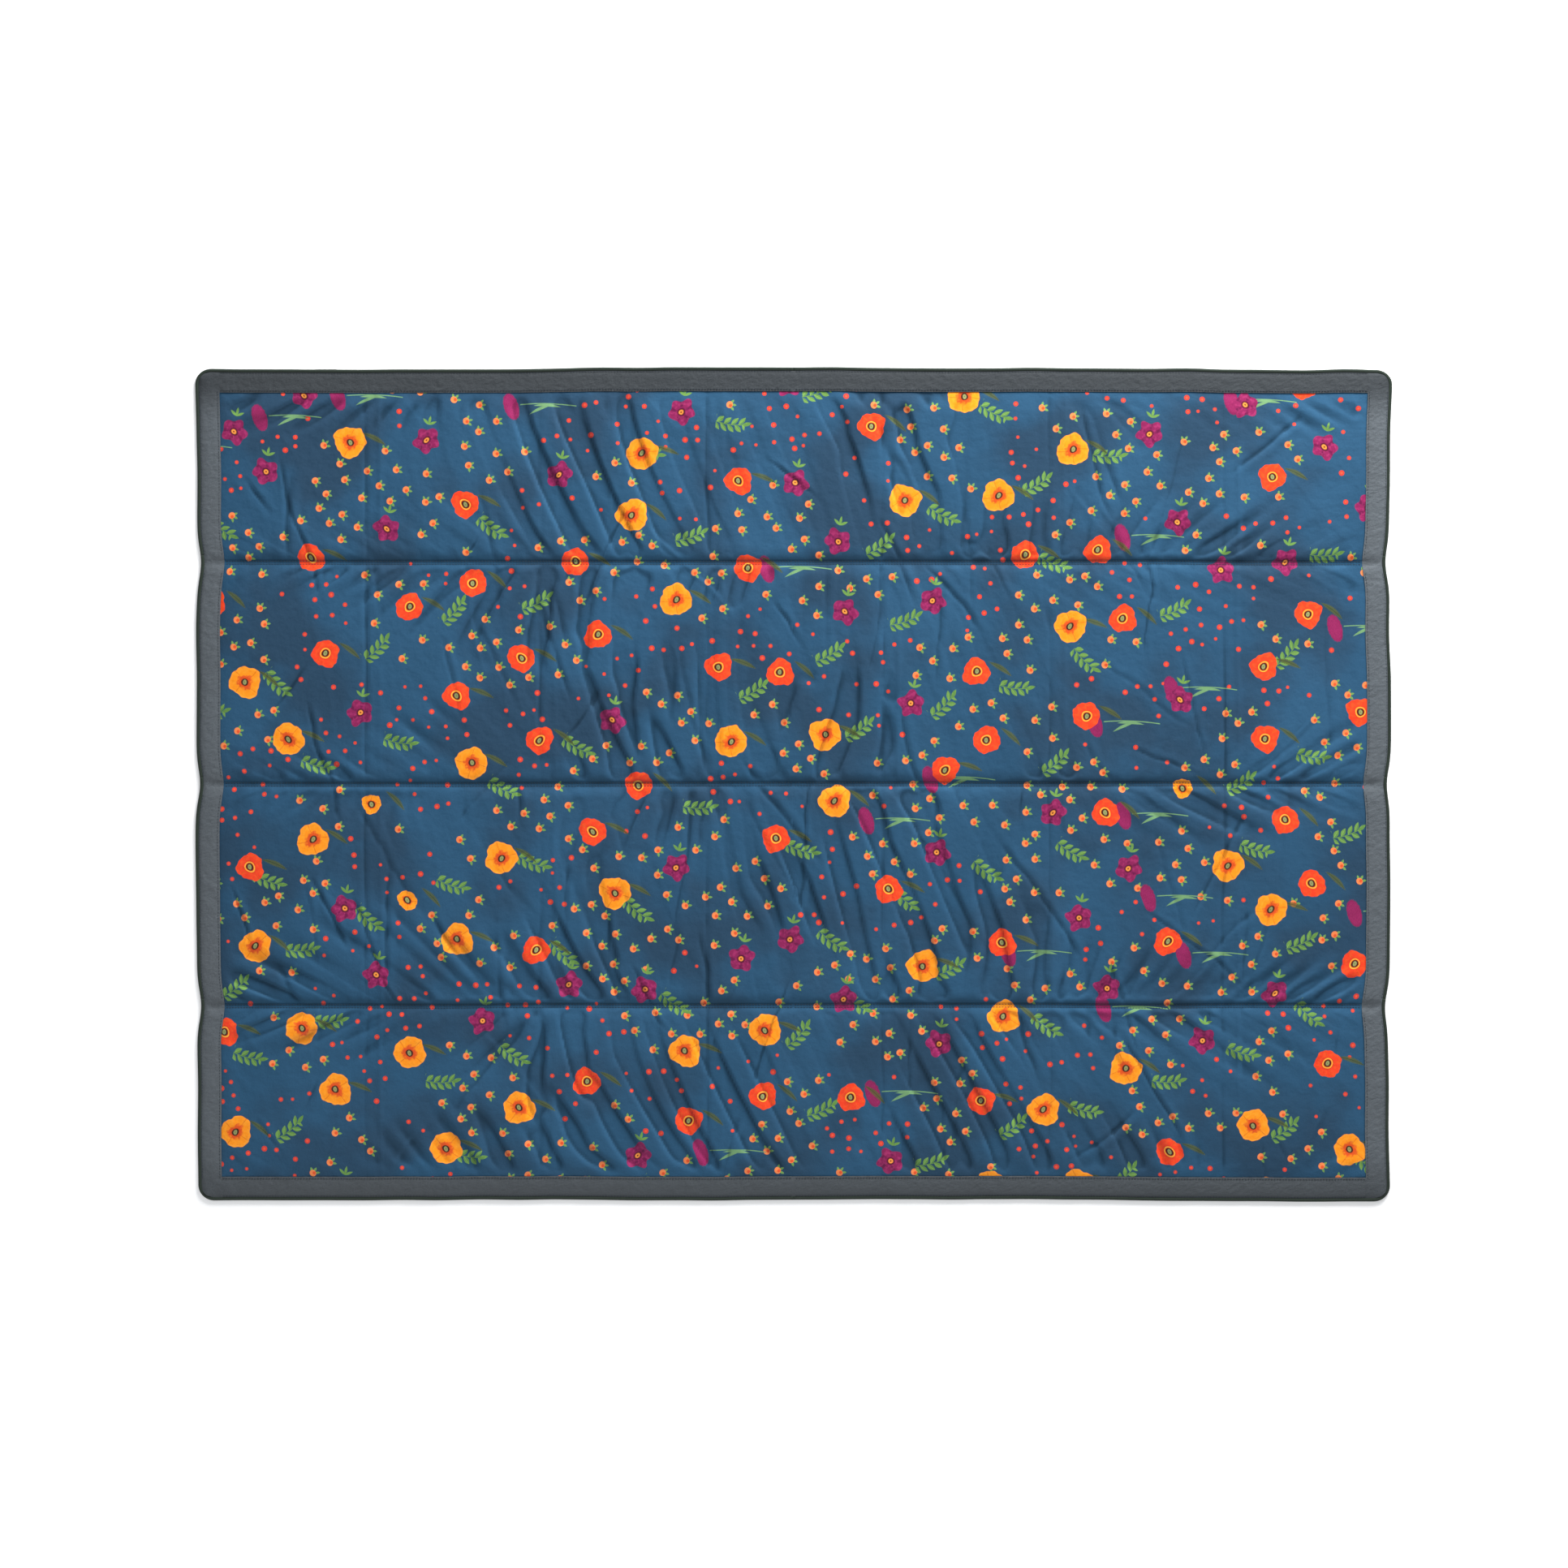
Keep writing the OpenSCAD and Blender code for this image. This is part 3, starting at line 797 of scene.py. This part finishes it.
class Paint:
    """A material whose colour is built up in layers. x, y and z are the place in millimetres: on the cloth,
    or in space for a piece that isn't cut from a sheet."""

    def __init__(self, name, rgb, on_sheet=True):
        self.material = bpy.data.materials.new(name)
        self.material.use_nodes = True
        self.tree = self.material.node_tree
        self.tree.nodes.clear()
        if on_sheet:
            place = self.add("ShaderNodeUVMap", uv_map="cloth").outputs["UV"]
        else:
            place = self.add("ShaderNodeTexCoord").outputs["Object"]
        self.x, self.y, self.z = (v * 1000.0 for v in self.split(place))
        base = self.add("ShaderNodeRGB")
        base.outputs[0].default_value = linear(rgb)
        self.colour = base.outputs[0]

    def add(self, kind, **settings):
        node = self.tree.nodes.new(kind)
        for key, value in settings.items():
            setattr(node, key, value)
        return node

    def split(self, vector):
        node = self.add("ShaderNodeSeparateXYZ")
        self.tree.links.new(vector, node.inputs[0])
        return [Value(self.tree, socket) for socket in node.outputs]

    def vector(self, x, y, z=0.0):
        node = self.add("ShaderNodeCombineXYZ")
        for slot, item in zip(node.inputs, (x, y, z)):
            if isinstance(item, Value):
                self.tree.links.new(item.socket, slot)
            else:
                slot.default_value = item
        return node.outputs[0]

    def noise(self, x, y, scale, detail=2.0, seed=0.0):
        """Smooth noise from 0 to 1 with features scale millimetres wide."""
        node = self.add("ShaderNodeTexNoise")
        node.inputs["Scale"].default_value = 1.0
        node.inputs["Detail"].default_value = detail
        self.tree.links.new(self.vector(x / scale, y / scale, seed), node.inputs["Vector"])
        return Value(self.tree, node.outputs["Fac"])

    def randoms(self, x, y, seed):
        """Four random numbers that are the same all over a cell."""
        node = self.add("ShaderNodeTexWhiteNoise", noise_dimensions="3D")
        self.tree.links.new(self.vector(x, y, seed), node.inputs["Vector"])
        return self.split(node.outputs["Color"]) + [Value(self.tree, node.outputs["Value"])]

    def scatter(self, x, y, cell, jitter, seed, tilt):
        """Splits the cloth into cells with one motif each: place from the motif's middle, two random numbers
        and the middle itself."""
        c, s = math.cos(tilt), math.sin(tilt)
        u, v = turned(x, y, c, s)
        iu, iv = floor(u / cell), floor(v / cell)
        r = self.randoms(iu, iv, seed)
        mu = (iu + 0.5) * cell + (r[0] - 0.5) * (2 * jitter)
        mv = (iv + 0.5) * cell + (r[1] - 0.5) * (2 * jitter)
        du, dv = u - mu, v - mv
        dx, dy = turned(du, dv, c, -s)
        mx, my = turned(mu, mv, c, -s)
        return dx, dy, r[2], r[3], mx, my

    def layer(self, mask, rgb):
        """Lays a colour over the rest where mask is 1."""
        node = self.add("ShaderNodeMix", data_type="RGBA")
        self.tree.links.new(mask.socket, node.inputs["Factor"])
        self.tree.links.new(self.colour, node.inputs[6])
        node.inputs[7].default_value = linear(rgb)
        self.colour = node.outputs[2]

    def shade(self, amount):
        """Multiplies the colour by a Value near 1."""
        node = self.add("ShaderNodeVectorMath", operation="SCALE")
        self.tree.links.new(self.colour, node.inputs[0])
        self.tree.links.new(amount.socket, node.inputs["Scale"])
        self.colour = node.outputs[0]

    def paint_hollow_shade_and_crest_light(self, dark, light):
        """Painted shade: darkens the hollows between folds. Painted highlight: lightens the crests."""
        attribute = self.add("ShaderNodeAttribute", attribute_name="hollow")
        depth = Value(self.tree, attribute.outputs["Fac"]) * 1000.0
        self.shade(1.0 - inside(0.75 - depth, 0.75) * dark + inside(depth + 0.8, 0.8) * light)

    def finish(self, roughness, bumps, sheen=0.0, specular=0.4, tint=(1, 1, 1, 1)):
        """Adds the surface. bumps are pairs of a height Value, from 0 to 1, and its depth in metres."""
        out = self.add("ShaderNodeOutputMaterial")
        surface = self.add("ShaderNodeBsdfPrincipled")
        self.tree.links.new(self.colour, surface.inputs["Base Color"])
        if isinstance(roughness, Value):
            self.tree.links.new(roughness.socket, surface.inputs["Roughness"])
        else:
            surface.inputs["Roughness"].default_value = roughness
        surface.inputs["Specular IOR Level"].default_value = specular
        surface.inputs["Specular Tint"].default_value = tint
        surface.inputs["Sheen Weight"].default_value = sheen
        surface.inputs["Sheen Roughness"].default_value = 0.4
        normal = None
        for height, depth in bumps:
            bump = self.add("ShaderNodeBump")
            bump.inputs["Distance"].default_value = depth
            self.tree.links.new(height.socket, bump.inputs["Height"])
            if normal:
                self.tree.links.new(normal, bump.inputs["Normal"])
            normal = bump.outputs[0]
        if normal:
            self.tree.links.new(normal, surface.inputs["Normal"])
        self.tree.links.new(surface.outputs[0], out.inputs["Surface"])
        return self.material

    def weave(self, pitch):
        """Height of a plain weave with this thread pitch in millimetres."""
        k = 2 * math.pi / pitch
        return (sine(self.x * k) * sine(self.y * k)) * 0.5 + 0.5


# Print colours, as sRGB
CLOTH_BLUE = (45, 80, 108)
POPPY_YELLOW = (250, 146, 22)
POPPY_ORANGE = (240, 66, 32)
GLOW_RED = (214, 58, 28)
MAGENTA = (136, 34, 82)
LEAF_GREEN = (108, 148, 72)
LEAF_OLIVE = (84, 90, 42)
BUD_PEACH = (238, 134, 76)
BERRY_RED = (212, 62, 48)

FLOWER_CELL, FLOWER_JITTER, FLOWER_TILT = 151.0, 37.0, math.radians(21)
POPPY_SHARE = 0.64
SPRIG_CELL, SPRIG_JITTER = 151.0, 22.0
SPRIG_SHARE, THISTLE_FROM = 0.54, 0.80


def lens(u, v, half_length, half_width):
    """Distance-like value, negative inside a pointed leaf that lies along u."""
    t = u / half_length
    return size(v) - (1.0 - t * t) * half_width


def paint_flowers(p):
    def flowers(shift_x, shift_y):
        return p.scatter(p.x - shift_x, p.y - shift_y, FLOWER_CELL, FLOWER_JITTER, 1.0, FLOWER_TILT)

    # olive leaf beside each poppy
    dx, dy, kind, extra, _, _ = flowers(44.0, 7.0)
    poppy = below(kind, POPPY_SHARE)
    turn = extra * 0.5 - 0.8
    u, v = turned(dx, dy, cosine(turn), sine(turn))
    v = v + u * u * 0.004
    serration = sine(u * 1.9 + size(v) * 1.2) * 0.8
    p.layer(inside(lens(u, v, 24.0, 4.4) + serration, 0.6) * poppy * 0.8, LEAF_OLIVE)
    p.layer(inside(size(v) - 0.6, 0.4) * inside(size(u) - 21.0, 1.0) * poppy * 0.6, (52, 60, 34))

    # three small leaves above each magenta flower
    dx, dy, kind, extra, _, _ = flowers(4.0, 29.0)
    magenta = below(POPPY_SHARE, kind)
    for turn, reach in ((0.35, 7.0), (1.35, 8.0), (2.3, 7.0)):
        u, v = turned(dx, dy, math.cos(turn), math.sin(turn))
        p.layer(inside(lens(u - reach, v, 8.0, 2.4), 0.5) * magenta, LEAF_GREEN)

    dx, dy, kind, extra, _, _ = flowers(0.0, 0.0)
    poppy, magenta = below(kind, POPPY_SHARE), below(POPPY_SHARE, kind)
    yellow = below(kind, 0.30)
    small = below(extra, 0.10) * yellow
    dx, dy = dx + sine(dy * 0.16 + extra * 9.0) * 1.4, dy + sine(dx * 0.14 + kind * 30.0) * 1.4
    r = hypot(dx, dy)
    th = angle(dy, dx)
    wobble = sine(th * 3.0 + extra * 20.0) * 0.05 + sine(th * 7.0 + kind * 40.0) * 0.03 + 1.0
    wobble = wobble + sine(th * 13.0 + kind * 60.0) * 0.018
    reach = (yellow * 4.0 + 24.0 - small * 11.0) * wobble
    petal = inside(r - reach, 0.6)

    # poppies
    share = r / reach
    mask = petal * poppy
    p.layer(mask, POPPY_ORANGE)
    p.layer(mask * yellow, POPPY_YELLOW)
    streak = p.noise(th * 14.0 + kind * 50.0, r, 6.0, 1.0)
    p.layer(mask * yellow * inside(streak - 0.45, 0.14) * 0.30, (252, 178, 60))
    p.layer(mask * (1.0 - yellow) * inside(streak - 0.45, 0.14) * 0.35, (246, 104, 40))
    crease = size(sine(th * 2.0 + extra * 6.0))
    p.layer(mask * inside(crease - 0.07, 0.05) * inside(0.35 - share, 0.1) * 0.55, (205, 92, 22))
    p.layer(mask * yellow * inside(0.90 - share, 0.06) * 0.30, (254, 170, 70))
    glow = inside(share + (streak - 0.5) * 0.5 - 0.46, 0.12)
    p.layer(mask * glow * 0.85, GLOW_RED)
    ring = inside(size(r - 8.4) - 1.0, 0.7) * (1.0 - yellow)
    p.layer(mask * ring, (248, 178, 60))
    p.layer(mask * inside(r - 6.6, 0.9), (66, 34, 20))
    p.layer(mask * inside(hypot(dx * 1.15, dy * 0.85) - 3.9, 0.7), (148, 150, 96))
    p.layer(mask * inside(hypot(dx, dy) - 1.1, 0.5) * 0.6, (86, 88, 52))

    # magenta flowers
    lobe = cosine(th * 5.0 + extra * 6.0)
    reach = (lobe * 0.13 + 0.87) * 25.0
    mask = inside(r - reach, 0.6) * magenta
    p.layer(mask, MAGENTA)
    p.layer(mask * inside(lobe + 0.55, 0.25) * inside(9.0 - r, 3.0) * 0.75, (96, 22, 62))
    p.layer(mask * inside(streak - 0.44, 0.12) * 0.35, (186, 62, 116))
    p.layer(mask * inside(r - 7.2, 1.6), (84, 22, 44))
    p.layer(mask * inside(r - 4.4, 0.8), (236, 146, 62))
    p.layer(mask * inside(r - 1.5, 0.5), (120, 60, 30))


def paint_sprigs(p):
    """Leafy sprigs and long-stemmed thistles, in the corners between the flowers' cells."""
    dx, dy, kind, extra, _, _ = p.scatter(
        p.x + SPRIG_CELL / 2, p.y + SPRIG_CELL / 2, SPRIG_CELL, SPRIG_JITTER, 2.0, FLOWER_TILT)
    sprig, thistle = below(kind, SPRIG_SHARE), below(THISTLE_FROM, kind)
    turn = extra * 1.7 - 0.85
    c, s = cosine(turn), sine(turn)
    u, v = turned(dx, dy, c, s)
    v = v - u * u * 0.005
    stem = inside(size(v) - 0.7, 0.4) * inside(size(u) - 27.0, 0.8)
    pair = u / 13.0 + below(v, 0.0) * 0.5
    du = (fract(pair) - 0.5) * 13.0
    av = size(v) - 6.6
    a, b = turned(du, av, math.cos(0.80), math.sin(0.80))
    leaf = inside(lens(a, b, 8.6, 3.9), 0.5) * inside(size(u + 1.0) - 26.0, 0.4) * inside(size(v) - 14.0, 0.4)
    tip = inside(lens(u - 28.0, v, 9.0, 3.6), 0.5)
    mask = most(most(stem, leaf), tip) * sprig
    p.layer(mask, LEAF_GREEN)
    p.layer(mask * inside(b, 1.2) * 0.4, (76, 116, 56))
    p.layer(leaf * sprig * inside(size(b) - 0.35, 0.3) * 0.5, (150, 182, 104))

    # thistle: a leaning oval head at the left and a long stem with two leaves
    bow = dy - 6.0 + dx * dx * 0.0012
    stalk = inside(size(bow) - 0.9, 0.4) * inside(size(dx - 16.0) - 50.0, 1.0)
    for mx, my, tilt, reach in ((14.0, 3.0, -0.06, 24.0), (2.0, -3.0, 0.40, 22.0)):
        u, v = turned(dx - mx, dy - my, math.cos(tilt), math.sin(tilt))
        stalk = most(stalk, inside(lens(u, v + u * u * 0.004, reach, 2.6), 0.5))
    p.layer(stalk * thistle, (112, 152, 104))
    u, v = turned(dx + 50.0, dy - 1.0, math.cos(0.30), math.sin(0.30))
    fringe = p.noise(u * 2.5, v * 0.8, 3.0, 1.0)
    head = hypot(u * 1.95, v) - 25.0 + (fringe - 0.5) * 7.0
    p.layer(inside(head, 1.2) * thistle, MAGENTA)
    p.layer(inside(head + 4.0, 2.0) * thistle * inside(fringe - 0.5, 0.1) * 0.30, (170, 52, 104))


def away_from_flowers(p, x, y):
    """1 where a small motif at this place keeps clear of the flowers and sprigs, else 0."""
    fx, fy, kind, _, _, _ = p.scatter(x, y, FLOWER_CELL, FLOWER_JITTER, 1.0, FLOWER_TILT)
    sx, sy, other, _, _, _ = p.scatter(
        x + SPRIG_CELL / 2, y + SPRIG_CELL / 2, SPRIG_CELL, SPRIG_JITTER, 2.0, FLOWER_TILT)
    clear_flower = below(36.0, hypot(fx, fy)) * below(20.0, hypot(fx - 38.0, fy - 4.0))
    busy = most(below(other, SPRIG_SHARE), below(THISTLE_FROM, other))
    clear_sprig = most(below(31.0, hypot(sx, sy)), 1.0 - busy)
    clear_head = most(below(28.0, hypot(sx + 40.0, sy)), 1.0 - below(THISTLE_FROM, other))
    return clear_flower * clear_sprig * clear_head


def paint_small_motifs(p):
    dx, dy, kind, extra, mx, my = p.scatter(p.x, p.y, 39.0, 8.5, 3.0, math.radians(38))
    patch = p.noise(mx, my, 150.0, 0.0, 4.7)
    shown = below(patch, 0.475) * below(kind, 0.86) * away_from_flowers(p, mx, my)
    turn = extra * 1.6 - 0.8
    c, s = cosine(turn), sine(turn)
    u, v = turned(dx, dy, c, s)
    leaves = None
    for tilt, reach in ((0.30, 7.6), (-0.60, 8.2), (1.20, 7.0)):
        a, b = turned(u, v, math.cos(tilt), math.sin(tilt))
        leaf = inside(lens(a - reach, b, 4.8, 2.2), 0.5)
        leaves = leaf if leaves is None else most(leaves, leaf)
    p.layer(leaves * shown, (112, 152, 80))
    p.layer(inside(hypot(u, v * 0.9) - 5.6, 0.5) * shown, BUD_PEACH)
    p.layer(inside(hypot(u - 2.0, v + 1.0) - 2.9, 0.8) * shown, (226, 84, 42))

    dx, dy, kind, extra, mx, my = p.scatter(p.x, p.y, 27.0, 7.0, 5.0, math.radians(12))
    patch = p.noise(mx, my, 150.0, 0.0, 4.7)
    shown = below(0.515, patch) * below(kind, 0.50) * away_from_flowers(p, mx, my)
    reach = extra * 2.2 + 2.9
    r = hypot(dx, dy)
    p.layer(inside(r - reach, 0.5) * shown, BERRY_RED)
    p.layer(inside(r - reach * 0.5, 1.0) * shown * 0.5, (248, 104, 72))


def paint_seam_shade(p):
    """Painted shade: darkens the cloth in each seam's channel and on the slope behind it, where shadow falls.
    """
    for seam in SEAMS:
        behind = p.y - seam * 1000.0
        # painted shadow as a dark line in the channel, and painted shade on the slope behind the seam
        line = inside(size(behind - 4.4) - 1.6, 1.2) * 0.50
        slope = inside(behind - 10.0, 12.0) * inside(0.0 - behind, 1.0) * 0.30
        p.shade(1.0 - most(line, slope))


def printed_cloth():
    p = Paint("printed_cover", CLOTH_BLUE)
    fade = p.noise(p.x, p.y, 260.0, 2.0, 1.3)
    p.shade(fade * 0.5 + 0.77)
    cloud = p.noise(p.x, p.y, 190.0, 3.0, 9.1)
    p.layer(inside(0.53 - cloud, 0.11) * 0.6, (42, 56, 72))
    paint_small_motifs(p)
    paint_sprigs(p)
    paint_flowers(p)
    ink = p.noise(p.x, p.y, 3.0, 3.0, 8.0)
    p.shade(ink * 0.16 + 0.92)
    # painted shade along each seam
    paint_seam_shade(p)
    # painted shade in the hollows between folds and a painted highlight on the crests
    p.paint_hollow_shade_and_crest_light(0.45, 0.10)
    crumple = p.noise(p.x, p.y, 16.0, 4.0, 2.0)
    roughness = crumple * 0.14 + 0.42
    return p.finish(roughness, [(p.weave(0.9), 0.05 * MM), (crumple, 1.2 * MM)], specular=0.30,
                    tint=(0.30, 0.68, 1, 1))


def plain_cloth(name, rgb, roughness, pitch, depth, crumple_depth=1.4 * MM, ends=(1, 1)):
    """ends are factors of painted shade that darken the cloth along the blanket's front and back edges."""
    p = Paint(name, rgb)
    near_end = HALF_W * 1000 - 60.0
    # painted shade towards the front and back edges
    for direction, end_shade_factor in zip((1.0, -1.0), ends):
        p.shade(1.0 - inside(p.y * direction + near_end, 45.0) * (1 - end_shade_factor))
    broad = p.noise(p.x, p.y, 90.0, 3.0, 5.0)
    slub = p.noise(p.x * 0.15, p.y, 1.6, 2.0, 6.0)
    p.shade((broad - 0.5) * 0.22 + (slub - 0.5) * 0.22 + 1.0)
    # painted shade in the hollows between folds and a painted highlight on the crests
    p.paint_hollow_shade_and_crest_light(0.35, 0.12)
    crumple = p.noise(p.x, p.y, 12.0, 3.0, 7.0)
    streaks = p.noise(p.x * 0.35 + p.y, p.y - p.x * 0.9, 9.0, 2.0, 12.0)
    bumps = [(p.weave(pitch), depth), (crumple, crumple_depth), (streaks, 1.1 * MM)]
    return p.finish(crumple * 0.1 + roughness, bumps, sheen=0.05, specular=0.35)


def twill(name, rgb, roughness, pitch, depth):
    """For cord, thread, webbing and patches."""
    p = Paint(name, rgb, on_sheet=False)
    k = 2 * math.pi / pitch
    ribs = sine((p.x + p.y) * k) * sine((p.x - p.y + p.z) * (k / 2)) * 0.5 + 0.5
    speckle = p.noise(p.x, p.y, 10 / 3, 2.0, p.z * 0.3)
    p.shade((speckle - 0.5) * 0.25 + (ribs - 0.5) * 0.25 + 1.0)
    return p.finish(roughness, [(ribs, depth)], specular=0.3)


# ---------------------------------------------------------------- scene
def finish_webbing(names, material, rounding):
    """Gives the CAD model's own pieces their material and worn-round edges."""
    for name in names:
        node = frame["nodes"][name]
        node.data.materials.clear()
        node.data.materials.append(material)
        bevel = node.modifiers.new("rounded", "BEVEL")
        bevel.width, bevel.segments = rounding, 2
        bevel.limit_method, bevel.angle_limit = "ANGLE", math.radians(50)
        bevel.use_clamp_overlap = True


def build_room():
    bpy.ops.mesh.primitive_plane_add(size=24)
    ground = bpy.context.object
    ground.name = "floor"
    white = bpy.data.materials.new("floor_white")
    white.use_nodes = True
    surface = white.node_tree.nodes["Principled BSDF"]
    surface.inputs["Base Color"].default_value = (0.95, 0.95, 0.95, 1)
    surface.inputs["Roughness"].default_value = 0.9
    surface.inputs["Specular IOR Level"].default_value = 0.1
    surface.inputs["Emission Color"].default_value = (1, 1, 1, 1)
    surface.inputs["Emission Strength"].default_value = 0.21
    ground.data.materials.append(white)

    world = bpy.data.worlds.new("studio")
    bpy.context.scene.world = world
    world.use_nodes = True
    background = world.node_tree.nodes["Background"]
    background.inputs["Color"].default_value = (0.93, 0.96, 1, 1)
    background.inputs["Strength"].default_value = 0.42
    window = add_light("window", (1.4, 3.7, 1.5), 2.4, 1.8, 425)
    window.visible_glossy = False  # its glare is a weaker lamp of its own
    glare = add_light("glare", (1.4, 3.7, 1.5), 2.4, 1.8, 90)
    glare.visible_diffuse = False
    add_light("fill", (-0.8, -3.4, 1.7), 2.4, 1.8, 34)


def add_light(name, place, width, height, power):
    """A soft box that faces the blanket's middle."""
    lamp = bpy.data.lights.new(name, "AREA")
    lamp.shape = "RECTANGLE"
    lamp.size, lamp.size_y, lamp.energy = width, height, power
    light = bpy.data.objects.new(name, lamp)
    bpy.context.scene.collection.objects.link(light)
    light.location = place
    light.rotation_euler = (-light.location).to_track_quat("-Z", "Y").to_euler()
    return light


def add_camera():
    """Straight above, far enough away that the view is nearly without perspective."""
    lens_mm, sensor_mm = 90.0, 36.0
    frame_width = 2 * HALF_L * 1.3098
    camera = bpy.data.cameras.new("camera")
    camera.lens, camera.sensor_width = lens_mm, sensor_mm
    holder = bpy.data.objects.new("camera", camera)
    bpy.context.scene.collection.objects.link(holder)
    holder.location = (-0.0166, 0.0007, frame_width * lens_mm / sensor_mm)
    bpy.context.scene.camera = holder


cover_cloth = printed_cloth()
# the facing gets painted shade along the front edge, and more along the back edge
facing_cloth = plain_cloth("facing_oxford", (87, 93, 98), 0.55, 1.1, 0.12 * MM, ends=(0.66, 0.37))
backing_cloth = plain_cloth("backing_oxford", (70, 73, 78), 0.42, 1.4, 0.10 * MM, crumple_depth=0.6 * MM)
wadding = plain_cloth("wadding", (232, 232, 226), 0.9, 3.0, 0.5 * MM, crumple_depth=1.5 * MM)
cord_cloth = twill("piping_cloth", (40, 49, 42), 0.6, 1.2, 0.10 * MM)
thread = twill("thread", (38, 46, 54), 0.5, 0.6, 0.05 * MM)
webbing_weave = twill("webbing", (44, 46, 50), 0.65, 2.4, 0.25 * MM)
patch_pile = twill("hook_and_loop", (24, 24, 26), 0.85, 1.0, 0.4 * MM)

build_cover(cover_cloth)
build_backing(backing_cloth)
build_batting(wadding)
build_facings(facing_cloth)
build_piping(cord_cloth)
build_stitching(thread)
straps = ("carry_handle", "webbing_anchors", "closure_strap_inner", "closure_strap_outer")
finish_webbing(straps, webbing_weave, 0.5 * MM)
finish_webbing(("hook_patch_inner", "hook_patch_outer", "loop_patches"), patch_pile, 0.3 * MM)
build_room()
add_camera()
bpy.context.scene.view_settings.view_transform = "Standard"
